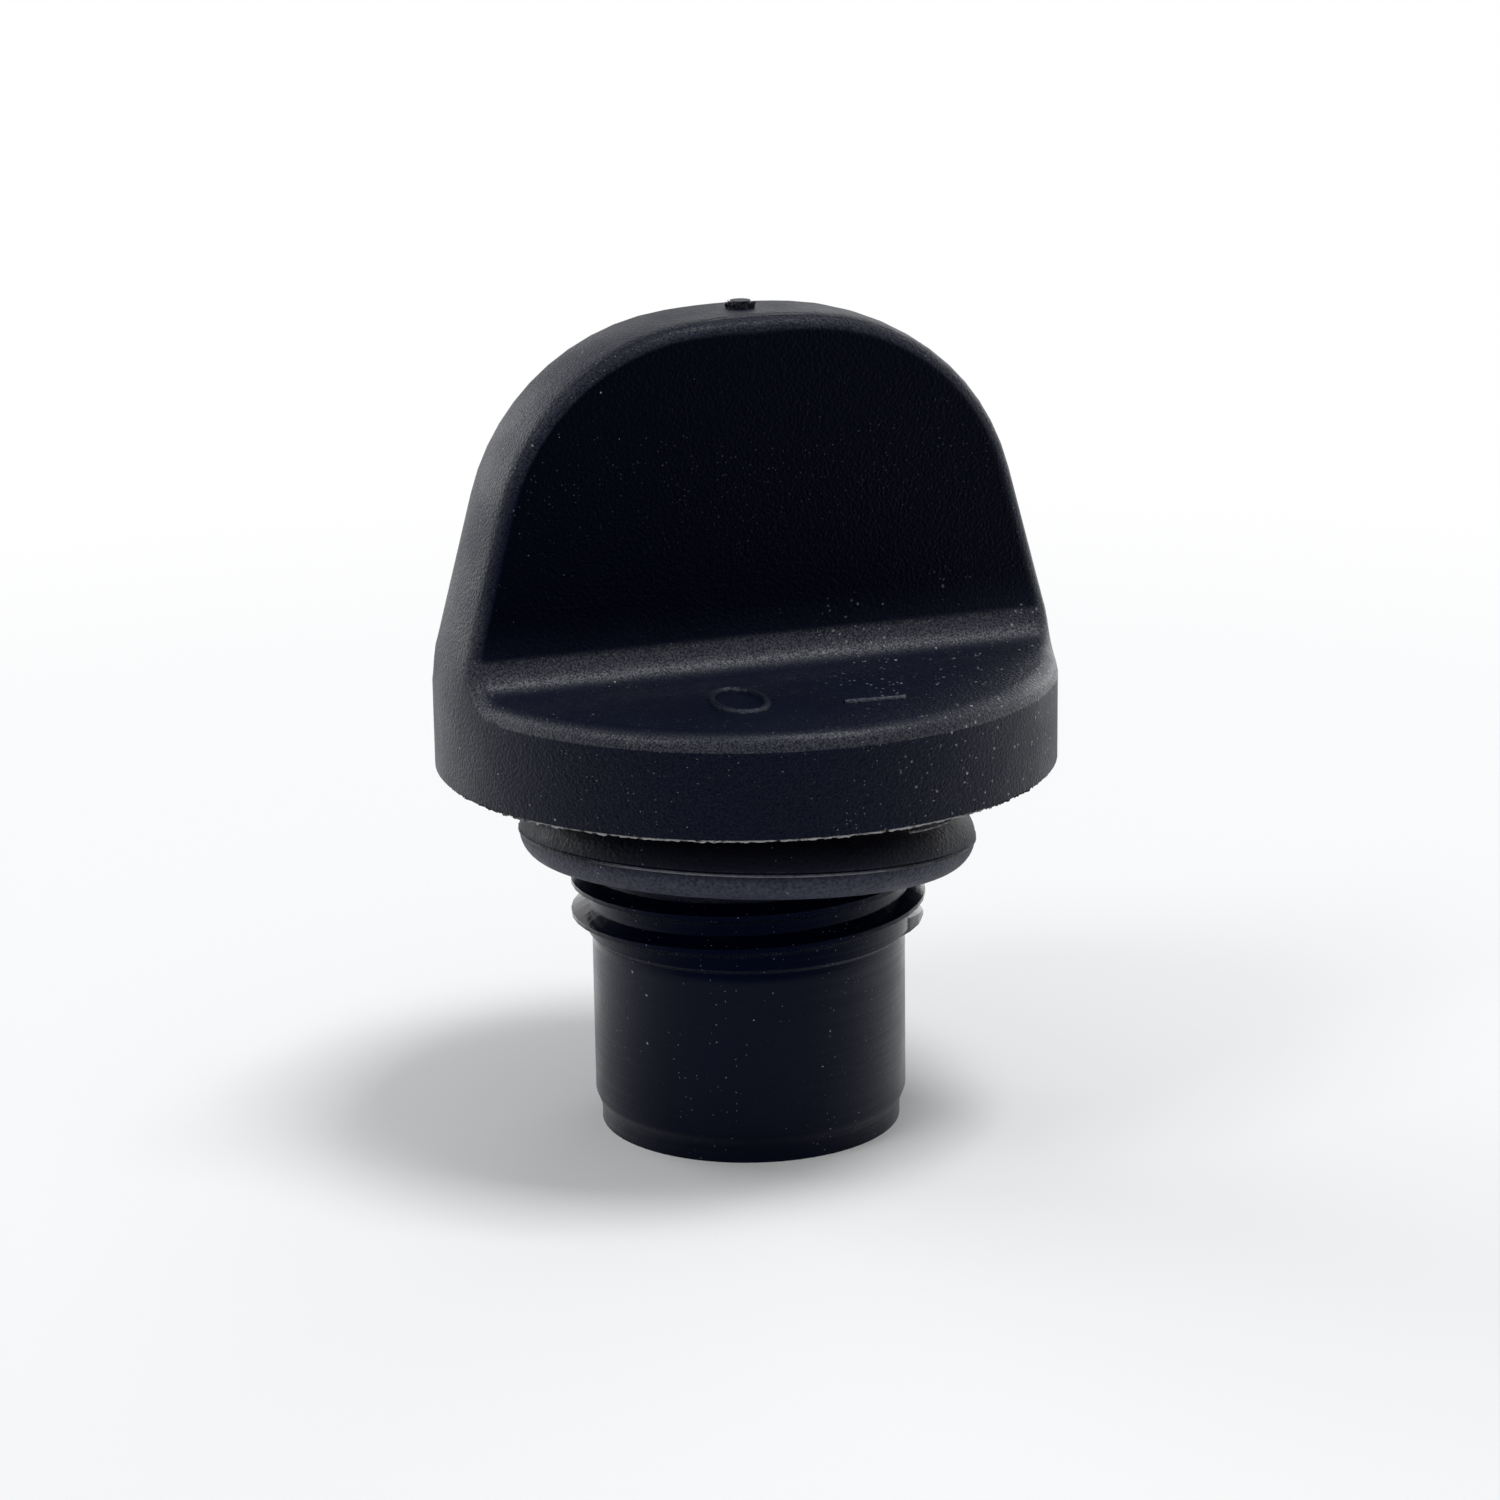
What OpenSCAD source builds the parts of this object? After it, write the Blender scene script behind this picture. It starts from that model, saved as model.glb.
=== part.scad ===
/* [Rim] */
// Radius of the round head at its rim
rim_r = 27.8; // [26:0.1:34]
// Height of the rim's underside above the spigot's end
rim_z = 34; // [33:0.5:42]
// Height of the rim, from its underside to the floor of the scoops
rim_h = 9.1; // [7:0.1:13]
// Rounding between the rim and the leaning ends of the wing
rim_blend_r = 6; // [3:0.5:9]
// Wall of the skirt that hangs round the seal
skirt_wall = 3; // [2:0.1:4]

/* [Wing] */
// Height of the wing's top above the floor of the scoops
wing_h = 31.1; // [26:0.1:36]
// Thickness of the wing at its foot
wing_t = 10.6; // [9:0.1:14]
// Draft of each face of the wing, in degrees
wing_draft = 1; // [0.5:0.1:2]
// Lean of the wing's ends from upright, in degrees
side_lean = 15; // [10:0.5:18]
// Height above the scoops' floor from which the wing's ends lean in
side_rise = 2.1; // [0:0.1:3]
// Radius of the shoulders, seen from the front
shoulder_r = 20.3; // [16:0.5:22]
// Radius of the top between the shoulders
crown_r = 62; // [40:1:80]
// Hollow radius between the wing's face and the scoop's floor
scoop_r = 3.4; // [2:0.1:6]
// Rounding along the wing's edges and the rim's top edge
edge_r = 1.6; // [0.8:0.1:2]
// Height of the stub that the moulding gate leaves on the wing's top
gate_h = 0.6; // [0.2:0.1:1]

/* [Marks] */
// Length of the raised ring mark, across the wing
ring_l = 8.4; // [5:0.1:9]
// Width of the raised ring mark, along the wing
ring_w = 5; // [3:0.1:5.5]
// Length of the raised bar mark
bar_l = 5.4; // [3:0.1:7]
// Width of the marks' lines
mark_line = 0.5; // [0.4:0.1:0.8]
// Height of the marks above the scoop's floor
mark_h = 0.25; // [0.15:0.05:0.4]

/* [Thread] */
// Major radius, over the thread's crest
thread_r = 16; // [15.7:0.1:16.3]
// Pitch of the right-hand thread
thread_pitch = 3; // [2.7:0.1:3.2]
// Width of the thread's flat crest
crest_w = 0.4; // [0.3:0.1:0.8]
// Height of the thread's start above the spigot's end
thread_z = 18.05; // [17.5:0.05:18.3]
// Direction in which the thread starts, in degrees from the wing's right end
thread_from = -38; // [-60:1:0]
// Turns of thread, its run-in and run-out among them
thread_turns = 2.1; // [1.6:0.1:2.1]

/* [Spigot] */
// Radius of the smooth spigot
spigot_r = 14.15; // [13.5:0.05:14.4]
// Radius of the lead-in at the spigot's end
tip_r = 13.6; // [13:0.1:13.9]
// Straight length of the lead-in
tip_l = 1.4; // [1:0.1:2.5]
// Height of the taper above the lead-in
tip_taper = 1.5; // [0.8:0.1:2.5]
// Radius of the spigot's bore
bore_r = 11.5; // [9:0.1:12]

/* [Seal] */
// Thickness of the rubber ring's round section
seal_d = 5.4; // [4.6:0.1:5.6]
// Radius of the ring's middle line
seal_r = 17.8; // [17.4:0.1:18.2]
// Height of the ring's middle above the spigot's end
seal_z = 26.85; // [26.6:0.05:27.2]
// Tilt at which the ring sits on its neck, in degrees
seal_tilt = 5.8; // [4.5:0.1:6.2]
// Direction in which the ring sits highest, in degrees from the wing's right end
seal_turn = 229; // [0:1:359]

/* [Hidden] */

// steps of the curves
round_fn = 144;
small_fn = 48;
edge_steps = 4;
band_steps = 6;
crown_steps = 4;
shoulder_steps = 11;
side_steps = 3;
hollow_steps = 7;
rim_steps = 20;
thread_step = 8;

// how far a cut runs past the solid
past = 1;

// levels and walls of the head
floor_z = rim_z + rim_h;
top_z = floor_z + wing_h;
roof = 2.6;
skirt_r = rim_r - skirt_wall;
wing_wall = 2.6;
slot_w = wing_t - 2 * wing_wall;
pocket_r = skirt_r - 2.5;
pocket_top = floor_z + 6;

// neck, and the shoulder that the ring's high side bears on
seal_slack = 0.1;
shoulder_gap = 0.05;
neck_r = (seal_r - seal_d / 2) * cos(seal_tilt) - seal_slack;
shoulder_z = seal_z + seal_r * sin(seal_tilt) + seal_d / 2 + shoulder_gap;
shoulder_edge_r = seal_r + 0.4;
neck_step = 1;

// thread
core_r = spigot_r + 0.45;
core_z = thread_z - 0.3;
upper_flank = 30;
lower_flank = 31;
thread_sunk = 0.6;
run_in = 24;
run_out = 56;
thread_end = 360 * thread_turns;
thread_top = thread_z + thread_pitch * thread_turns;
lead_in = 0.4;

// stub of the moulding gate
gate_r = 1.15;
gate_taper = 0.25;
gate_sunk = 0.4;

// marks on the floor of the front scoop
ring_at = [-6.4, -15.6];
bar_at = [4.3, -19.95];
mark_turn = -6;
mark_sunk = 0.5;

// the head lies inside a round outline: crown, shoulder, leaning side, blend and rim, one after the other
side_n = [cos(side_lean), sin(side_lean)];
side_at = side_n * [rim_r, floor_z + side_rise];
crown_z = top_z - crown_r;
shoulder_k = side_at - shoulder_r - side_n.y * crown_z;
shoulder_m = sqrt(pow(crown_r - shoulder_r, 2) - pow(shoulder_k, 2));
shoulder_c = [
    side_n.x * shoulder_k - side_n.y * shoulder_m,
    crown_z + side_n.y * shoulder_k + side_n.x * shoulder_m
];
crown_end = asin(shoulder_c.x / (crown_r - shoulder_r));

// highest point of the wing: the shoulders meet there where no crown is left between them
shoulder_top = shoulder_c.y + sqrt(pow(shoulder_r, 2) - pow(shoulder_c.x, 2));
apex_z = shoulder_c.x > 0 ? top_z : shoulder_top;
slot_top = apex_z - 4;

blend_z = floor_z + side_rise - rim_blend_r * tan(side_lean / 2);

// a ball of radius edge_r rolls inside the outline: its middle keeps to the outline set in by edge_r
ball_crown_r = crown_r - edge_r;
ball_shoulder_r = shoulder_r - edge_r;
ball_blend_r = rim_blend_r - edge_r;
ball_rim_r = rim_r - edge_r;
crown_low = crown_z + ball_crown_r * cos(crown_end);
shoulder_low = shoulder_c.y + ball_shoulder_r * side_n.y;
blend_top = blend_z + ball_blend_r * side_n.y;
function ball_r(z) =
    z > crown_low ? sqrt(max(0, pow(ball_crown_r, 2) - pow(z - crown_z, 2))) :
    z > shoulder_low ? shoulder_c.x + sqrt(pow(ball_shoulder_r, 2) - pow(z - shoulder_c.y, 2)) :
    z > blend_top ? (side_at - edge_r - side_n.y * z) / side_n.x :
    z > blend_z ? rim_r - rim_blend_r + sqrt(pow(ball_blend_r, 2) - pow(z - blend_z, 2)) :
    ball_rim_r;

// angle from upright at which the ball touches the outline
function side_a(z) =
    z > crown_low ? acos((z - crown_z) / ball_crown_r) :
    z > shoulder_low ? acos((z - shoulder_c.y) / ball_shoulder_r) :
    z > blend_top ? 90 - side_lean :
    z > blend_z ? acos((z - blend_z) / ball_blend_r) :
    90;

// each scoop is one profile run along the wing: a face with draft, a hollow and a flat floor
hollow_y = wing_t / 2 + scoop_r;
hollow_z = floor_z + scoop_r;
ball_hollow_r = scoop_r + edge_r;
face_low = hollow_z - ball_hollow_r * sin(wing_draft);
function face_y(z) = hollow_y - ball_hollow_r * cos(wing_draft) - (z - face_low) * tan(wing_draft);

// the highest place where the ball still fits between the two faces and the crown
search_steps = 50;
function highest(lo, hi, n) =
    let (mid = (lo + hi) / 2)
    n == 0 ? mid :
    ball_r(mid) > face_y(mid) ? highest(mid, hi, n - 1) : highest(lo, mid, n - 1);
ball_top = highest(floor_z, top_z - edge_r, search_steps);

// places of the ball down the right end of the front scoop, as [height, distance, angle of the scoop]
top_r = ball_r(ball_top);
crown_out = ball_r(crown_low);
on_crown = ball_top > crown_low;
crown_zs = [
    for (i = [1 : crown_steps - 1])
    let (r = sqrt(pow(top_r, 2) + (pow(crown_out, 2) - pow(top_r, 2)) * pow(i / crown_steps, 2)))
    if (on_crown) crown_z + sqrt(pow(ball_crown_r, 2) - r * r)
];
shoulder_from = on_crown ? crown_end : acos((ball_top - shoulder_c.y) / ball_shoulder_r);
shoulder_zs = [
    for (i = [on_crown ? 0 : 1 : shoulder_steps])
    let (a = shoulder_from + (90 - side_lean - shoulder_from) * i / shoulder_steps)
    shoulder_c.y + ball_shoulder_r * cos(a)
];
side_zs = [for (i = [1 : side_steps]) shoulder_low + (face_low - shoulder_low) * i / side_steps];
face_places = [
    for (z = concat([ball_top], crown_zs, shoulder_zs, side_zs))
    [z, face_y(z), wing_draft]
];
hollow_places = [
    for (i = [1 : hollow_steps])
    let (a = wing_draft + (90 - wing_draft) * i / hollow_steps)
    [hollow_z - ball_hollow_r * sin(a), hollow_y - ball_hollow_r * cos(a), a]
];
places = concat(face_places, hollow_places);
foot = len(places) - 1;

// the ball's middle, the scoop's angle and the outline's angle, down the wing and on along the rim's edge
rim_turn = acos(hollow_y / ball_rim_r);
balls = concat(
    [
        for (i = [0 : foot])
        let (p = places[i])
        [[i == 0 ? 0 : sqrt(pow(ball_r(p[0]), 2) - pow(p[1], 2)), -p[1], p[0]], p[2], side_a(p[0])]
    ],
    [
        for (i = [1 : rim_steps])
        let (a = rim_turn * (1 - i / rim_steps))
        [[ball_rim_r * sin(a), -ball_rim_r * cos(a), floor_z - edge_r], 90, 90]
    ]
);
last = len(balls) - 1;

// points round the ball from the scoop to the outline
function turned(n0, n1, t) =
    let (a = acos(n0 * n1))
    (n0 * sin((1 - t) * a) + n1 * sin(t * a)) / sin(a);
function edge_of(b) =
    let (r = norm([b[0].x, b[0].y]))
    let (scoop_n = [0, -cos(b[1]), sin(b[1])])
    let (out_n = [b[0].x / r * sin(b[2]), b[0].y / r * sin(b[2]), cos(b[2])])
    [for (j = [0 : edge_steps]) b[0] + edge_r * turned(scoop_n, out_n, j / edge_steps)];

// points from the front edge round the wing's end to its middle
function band_of(p) =
    let (r = norm([p.x, p.y]))
    let (a = acos(p.x / r))
    [
        for (j = [0 : band_steps])
        let (b = a * (1 - j / band_steps))
        j == 0 ? p : [r * cos(b), -r * sin(b), p.z]
    ];

edges = [for (b = balls) edge_of(b)];
bands = [for (i = [0 : foot]) band_of(edges[i][edge_steps])];
function middle(p) = [0, p.y, p.z];
function low(p) = [p.x, p.y, rim_z];

// two triangles between neighbouring rows
function cell(p, q, j) = [[p[j], q[j + 1], q[j]], [p[j], p[j + 1], q[j + 1]]];
rim_row = concat(
    [for (i = [last : -1 : foot]) edges[i][edge_steps]],
    [for (j = [1 : band_steps]) bands[foot][j]]
);
quarter = concat(
    [for (j = [0 : band_steps - 1]) [[0, 0, apex_z], bands[0][j + 1], bands[0][j]]],
    [for (i = [0 : foot - 1]) for (j = [0 : band_steps - 1]) each cell(bands[i], bands[i + 1], j)],
    [for (i = [0 : last - 1]) for (j = [0 : edge_steps - 1]) each cell(edges[i], edges[i + 1], j)],
    [[middle(edges[0][0]), edges[1][0], middle(edges[1][0])]],
    [
        for (i = [1 : foot - 1])
        let (row = [edges[i][0], edges[i + 1][0]])
        each [[middle(row[0]), row[0], row[1]], [middle(row[0]), row[1], middle(row[1])]]
    ],
    [for (i = [foot : last - 1]) [middle(edges[foot][0]), edges[i][0], edges[i + 1][0]]],
    [
        for (j = [0 : len(rim_row) - 2])
        let (p = rim_row[j])
        let (q = rim_row[j + 1])
        each [[p, q, low(q)], [p, low(q), low(p)]]
    ],
    [for (j = [0 : len(rim_row) - 2]) [[0, 0, rim_z], low(rim_row[j]), low(rim_row[j + 1])]]
);

// a mirrored triangle keeps its face outwards, and adding zero takes the sign off a zero
function flipped(f, sx, sy) =
    let (g = sx * sy > 0 ? f : [f[0], f[2], f[1]])
    [for (p = g) [p.x * sx + 0, p.y * sy + 0, p.z]];

module head() {
    faces = [
        for (s = [[1, 1], [-1, 1], [1, -1], [-1, -1]])
        for (f = quarter)
        flipped(f, s.x, s.y)
    ];
    polyhedron(
        points = [for (f = faces) each f],
        faces = [for (i = [0 : len(faces) - 1]) [3 * i, 3 * i + 1, 3 * i + 2]]
    );
}

module obround(l, w) {
    square([w, l - w], center = true);
    for (s = [-1, 1]) translate([0, s * (l - w) / 2]) circle(d = w, $fn = small_fn);
}

module oval(l, w) {
    scale([w / 2, l / 2]) circle(r = 1, $fn = small_fn);
}

module marks() {
    translate([0, 0, floor_z - mark_sunk]) {
        translate(ring_at) rotate(mark_turn) linear_extrude(mark_h + mark_sunk) difference() {
            oval(ring_l, ring_w);
            oval(ring_l - 2 * mark_line, ring_w - 2 * mark_line);
        }
        translate(bar_at) rotate(90 + mark_turn) linear_extrude(mark_h + mark_sunk)
            obround(bar_l, mark_line);
    }
}

// broken-off stub of the moulding gate, with its foot sunk in the wing's top
module gate_stub() {
    translate([0, 0, apex_z - gate_sunk])
        cylinder(r1 = gate_r, r2 = gate_r - gate_taper, h = gate_sunk + gate_h, $fn = small_fn);
}

// height of the ridge over its turn, as a share of the full ridge
function ridge(a) = min(1, a / run_in, (thread_end - a) / run_out);

// the ridge is one section swept up a helix, with its foot sunk in the core
module thread_ridge() {
    n = round(thread_end / thread_step);
    rings = [
        for (i = [0 : n])
        let (a = thread_end * i / n)
        let (z = thread_z + thread_pitch * a / 360)
        let (r = spigot_r + (thread_r - spigot_r) * max(ridge(a), 0.01))
        let (foot_r = spigot_r - thread_sunk)
        let (up = (thread_r - foot_r) * tan(upper_flank))
        let (down = (thread_r - foot_r) * tan(lower_flank))
        let (t = (r - foot_r) / (thread_r - foot_r))
        [
            for (p = [
                [foot_r, -crest_w / 2 - down],
                [r, -crest_w / 2 - down * (1 - t)],
                [r, crest_w / 2 + up * (1 - t)],
                [foot_r, crest_w / 2 + up]
            ])
            [p.x * cos(thread_from + a), p.x * sin(thread_from + a), z + p.y]
        ]
    ];
    m = 4;
    polyhedron(
        points = [for (r = rings) each r],
        faces = concat(
            [[for (j = [m - 1 : -1 : 0]) j]],
            [[for (j = [0 : m - 1]) n * m + j]],
            [
                for (i = [0 : n - 1])
                for (j = [0 : m - 1])
                let (k = (j + 1) % m)
                each [
                    [i * m + j, i * m + k, (i + 1) * m + k],
                    [i * m + j, (i + 1) * m + k, (i + 1) * m + j]
                ]
            ]
        )
    );
}

// the core's flat lower end cuts the ridge off square
module thread() {
    intersection() {
        thread_ridge();
        translate([0, 0, core_z])
            cylinder(r = thread_r + past, h = thread_top + thread_pitch - core_z, $fn = round_fn);
    }
}

// spigot, thread core, neck and shoulder, turned round the axis
module stem() {
    rotate_extrude($fn = round_fn) polygon([
        [0, 0],
        [tip_r, 0],
        [tip_r, tip_l],
        [spigot_r, tip_l + tip_taper],
        [spigot_r, core_z],
        [core_r, core_z + core_r - spigot_r],
        [core_r, thread_top],
        [neck_r, thread_top + neck_step],
        [neck_r, shoulder_z],
        [shoulder_edge_r, shoulder_z],
        [shoulder_edge_r, floor_z - roof / 2],
        [0, floor_z - roof / 2]
    ]);
}

// blind hollow of the spigot, chamfered at its mouth, and the slot that cores out the wing above it
module bore() {
    translate([0, 0, -past]) {
        cylinder(r = bore_r, h = past + floor_z - roof, $fn = round_fn);
        cylinder(r1 = bore_r + past + lead_in, r2 = bore_r, h = past + lead_in, $fn = round_fn);
    }
    translate([0, 0, rim_z]) intersection() {
        cylinder(r = bore_r, h = slot_top - rim_z, $fn = round_fn);
        translate([-bore_r, -slot_w / 2, 0]) cube([2 * bore_r, slot_w, slot_top - rim_z]);
    }
}

// ring-shaped recess between the skirt and the shoulder, with a pocket up into each end of the wing
module recess() {
    translate([0, 0, rim_z - past]) difference() {
        cylinder(r = skirt_r, h = rim_h - roof + past, $fn = round_fn);
        translate([0, 0, -past]) cylinder(r = shoulder_edge_r, h = rim_h + 3 * past, $fn = round_fn);
    }
    for (s = [0, 180])
        rotate(s) translate([shoulder_edge_r, -slot_w / 2, rim_z])
            cube([pocket_r - shoulder_edge_r, slot_w, pocket_top - rim_z]);
}

module cap_body() {
    color("#171c24") difference() {
        union() {
            head();
            marks();
            gate_stub();
            stem();
            thread();
        }
        bore();
        recess();
    }
}

module seal_ring() {
    color("#2b2d33")
        translate([0, 0, seal_z]) rotate([0, 0, seal_turn]) rotate([0, -seal_tilt, 0])
            rotate_extrude($fn = round_fn) translate([seal_r, 0]) circle(d = seal_d, $fn = small_fn);
}

cap_body();
seal_ring();
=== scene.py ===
import math

import bpy
from mathutils import Matrix, Vector


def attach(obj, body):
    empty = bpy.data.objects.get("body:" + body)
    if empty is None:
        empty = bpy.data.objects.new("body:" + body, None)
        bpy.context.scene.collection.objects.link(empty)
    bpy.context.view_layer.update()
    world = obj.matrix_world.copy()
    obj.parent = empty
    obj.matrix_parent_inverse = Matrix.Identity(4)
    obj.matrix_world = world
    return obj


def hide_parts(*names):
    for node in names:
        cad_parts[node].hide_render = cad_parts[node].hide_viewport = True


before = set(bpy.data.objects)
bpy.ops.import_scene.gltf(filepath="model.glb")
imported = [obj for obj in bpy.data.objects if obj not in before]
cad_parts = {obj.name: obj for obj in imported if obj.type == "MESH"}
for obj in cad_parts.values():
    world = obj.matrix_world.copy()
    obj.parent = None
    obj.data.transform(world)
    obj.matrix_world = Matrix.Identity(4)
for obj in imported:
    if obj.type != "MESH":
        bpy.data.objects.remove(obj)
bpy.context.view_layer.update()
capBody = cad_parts["cap_body"]
mm = 0.001
tiny = 0.01 * mm  # how close counts as on an edge
weld = 0.001 * mm  # corners closer than this are merged
print("frame loaded")


# camera, at the photograph's angle

shot = {
    "target": (0, 0, 32 * mm),
    "distance": 378 * mm,
    "height": 15.62,  # degrees above the horizon
    "turn": 20.41,  # degrees round from the front
    "roll": 0.79,
    "lens": 101.16,
    "sensor": 36,
    "shift": (0.0023, 0.0159),
    "clip": (10 * mm, 10),
}


def makeCamera():
    turn, height, roll = (math.radians(shot[k]) for k in ("turn", "height", "roll"))
    away = Vector((math.sin(turn), math.cos(turn), 0))
    side = Vector((math.cos(turn), -math.sin(turn), 0))
    look = away * math.cos(height) - Vector((0, 0, math.sin(height)))
    above = side.cross(look)
    right = side * math.cos(roll) - above * math.sin(roll)
    up = side * math.sin(roll) + above * math.cos(roll)
    data = bpy.data.cameras.new("camera")
    data.lens = shot["lens"]
    data.sensor_width = shot["sensor"]
    data.shift_x, data.shift_y = shot["shift"]
    data.clip_start, data.clip_end = shot["clip"]
    camera = bpy.data.objects.new("camera", data)
    place = Matrix((right, up, -look)).transposed().to_4x4()
    place.translation = Vector(shot["target"]) - look * shot["distance"]
    camera.matrix_world = place
    bpy.context.collection.objects.link(camera)
    bpy.context.scene.camera = camera


makeCamera()
print("camera set")


# light, floor and background

studio = {
    "floorSize": 6.0,
    "floorColor": (0.9, 0.9, 0.9, 1),
    "floorRough": 0.9,
    "floorShine": 0.1,
    "floorFade": (0.12, 0.30),  # from here outwards the floor turns into the white backdrop
    "worldLight": 0.35,
    # place, size, power, colour
    "lamps": {
        "lampTop": ((0.34, -0.24, 1.28), 0.46, 9.0, (0.97, 0.985, 1)),
        "lampSide": ((-0.85, -0.30, 0.95), 0.46, 3.0, (0.97, 0.985, 1)),
        "lampLeft": ((-0.62, 0.95, 0.34), 0.80, 5.8, (0.96, 0.98, 1)),
        "lampRight": ((0.80, 0.70, 0.34), 0.70, 1.8, (0.96, 0.98, 1)),
    },
}


def link(tree, source, target):
    tree.links.new(source, target)


def mathNode(tree, operation, *values):
    node = tree.nodes.new("ShaderNodeMath")
    node.operation = operation
    for socket, value in zip(node.inputs, values):
        if isinstance(value, (int, float)):
            socket.default_value = value
        else:
            link(tree, value, socket)
    return node.outputs[0]


def times(tree, a, b):
    return mathNode(tree, "MULTIPLY", a, b)


def rangeNode(tree, value, low, high, toLow=0.0, toHigh=1.0):
    node = tree.nodes.new("ShaderNodeMapRange")
    node.interpolation_type = "SMOOTHSTEP"
    link(tree, value, node.inputs["Value"])
    limits = {"From Min": low, "From Max": high, "To Min": toLow, "To Max": toHigh}
    for label, limit in limits.items():
        node.inputs[label].default_value = limit
    return node.outputs["Result"]


def seenDirectly(tree):
    path = tree.nodes.new("ShaderNodeLightPath")
    seen = mathNode(tree, "MAXIMUM", path.outputs["Is Camera Ray"], path.outputs["Is Glossy Ray"])
    return mathNode(tree, "MAXIMUM", seen, path.outputs["Is Transmission Ray"])


def mixShader(tree, factor, a, b, out):
    mix = tree.nodes.new("ShaderNodeMixShader")
    for source, target in ((factor, mix.inputs[0]), (a, mix.inputs[1]), (b, mix.inputs[2])):
        link(tree, source, target)
    link(tree, mix.outputs[0], out.inputs["Surface"])


def makeWorld():
    world = bpy.data.worlds.new("studio")
    bpy.context.scene.world = world
    world.use_nodes = True
    tree = world.node_tree
    tree.nodes.clear()
    dim = tree.nodes.new("ShaderNodeBackground")
    white = tree.nodes.new("ShaderNodeBackground")
    dim.inputs["Color"].default_value = white.inputs["Color"].default_value = (1, 1, 1, 1)
    dim.inputs["Strength"].default_value = studio["worldLight"]
    out = tree.nodes.new("ShaderNodeOutputWorld")
    mixShader(tree, seenDirectly(tree), dim.outputs[0], white.outputs[0], out)


def makeLamps():
    for name, (place, size, power, color) in studio["lamps"].items():
        bpy.ops.object.light_add(type="AREA", location=place)
        lamp = bpy.context.object
        lamp.name = name
        lamp.data.size = size
        lamp.data.energy = power
        lamp.data.color = color
        lamp.visible_camera = False
        aim = Vector(shot["target"]) - Vector(place)
        lamp.rotation_euler = aim.to_track_quat("-Z", "Y").to_euler()


def makeFloor():
    bpy.ops.mesh.primitive_plane_add(size=studio["floorSize"], location=(0, 0, 0))
    floor = bpy.context.object
    floor.name = "floor"
    material = bpy.data.materials.new("paleFloor")
    material.use_nodes = True
    tree = material.node_tree
    surface = tree.nodes["Principled BSDF"]
    surface.inputs["Base Color"].default_value = studio["floorColor"]
    surface.inputs["Roughness"].default_value = studio["floorRough"]
    surface.inputs["Specular IOR Level"].default_value = studio["floorShine"]
    backdrop = tree.nodes.new("ShaderNodeEmission")
    coords = tree.nodes.new("ShaderNodeTexCoord").outputs["Object"]
    length = tree.nodes.new("ShaderNodeVectorMath")
    length.operation = "LENGTH"
    link(tree, coords, length.inputs[0])
    far = rangeNode(tree, length.outputs["Value"], *studio["floorFade"])
    share = times(tree, far, seenDirectly(tree))
    mixShader(tree, share, surface.outputs[0], backdrop.outputs[0], tree.nodes["Material Output"])
    floor.data.materials.append(material)


makeWorld()
makeLamps()
makeFloor()
print("studio set")


# effects that the materials share

def noiseNode(tree, vector, scale, detail=2.0, roughness=0.5):
    node = tree.nodes.new("ShaderNodeTexNoise")
    link(tree, vector, node.inputs["Vector"])
    if isinstance(scale, (int, float)):
        node.inputs["Scale"].default_value = scale
    else:
        link(tree, scale, node.inputs["Scale"])
    node.inputs["Detail"].default_value = detail
    node.inputs["Roughness"].default_value = roughness
    return node.outputs["Fac"]


def mixNode(tree, factor, a, b, kind="RGBA"):
    node = tree.nodes.new("ShaderNodeMix")
    node.data_type = kind
    first, result = {"RGBA": (6, 2), "FLOAT": (2, 0)}[kind]  # the node's sockets for this kind
    sockets = (node.inputs[0], node.inputs[first], node.inputs[first + 1])
    for socket, value in zip(sockets, (factor, a, b)):
        if isinstance(value, (int, float, tuple)):
            socket.default_value = value
        else:
            link(tree, value, socket)
    return node.outputs[result]


def splitNode(tree, vector):
    node = tree.nodes.new("ShaderNodeSeparateXYZ")
    link(tree, vector, node.inputs[0])
    return node.outputs


def newGroup(name, inputs, outputs):
    tree = bpy.data.node_groups.new(name, "ShaderNodeTree")
    for label, value in inputs.items():
        socket = tree.interface.new_socket(label, in_out="INPUT", socket_type="NodeSocketFloat")
        socket.default_value = value
    for label in outputs:
        tree.interface.new_socket(label, in_out="OUTPUT", socket_type="NodeSocketFloat")
    given, out = tree.nodes.new("NodeGroupInput"), tree.nodes.new("NodeGroupOutput")
    coords = tree.nodes.new("ShaderNodeTexCoord").outputs["Object"]
    return tree, given.outputs, out.inputs, coords


dustSpecks = {
    "inputs": {
        "Scale": 1200.0, "Size": 0.1, "Amount": 0.2, "Clump Scale": 120.0, "Clump From": 0.45},
    "edgeScale": 6.0,  # how much finer a speck's ragged edge is than its cell
    "edgeDetail": 1.0,
    "swell": 2.0,
    "strays": 0.15,  # share of the specks that lie outside the clumps
}

mouldGrain = {
    "inputs": {"Scale": 4000.0},
    "detail": 3.0,
    "fineRough": 0.6,
    "pitScale": 0.8,
    "pitDepth": 0.5,
    "patchScale": 0.04,
    "patchFrom": (0.3, 0.7),
}


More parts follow.
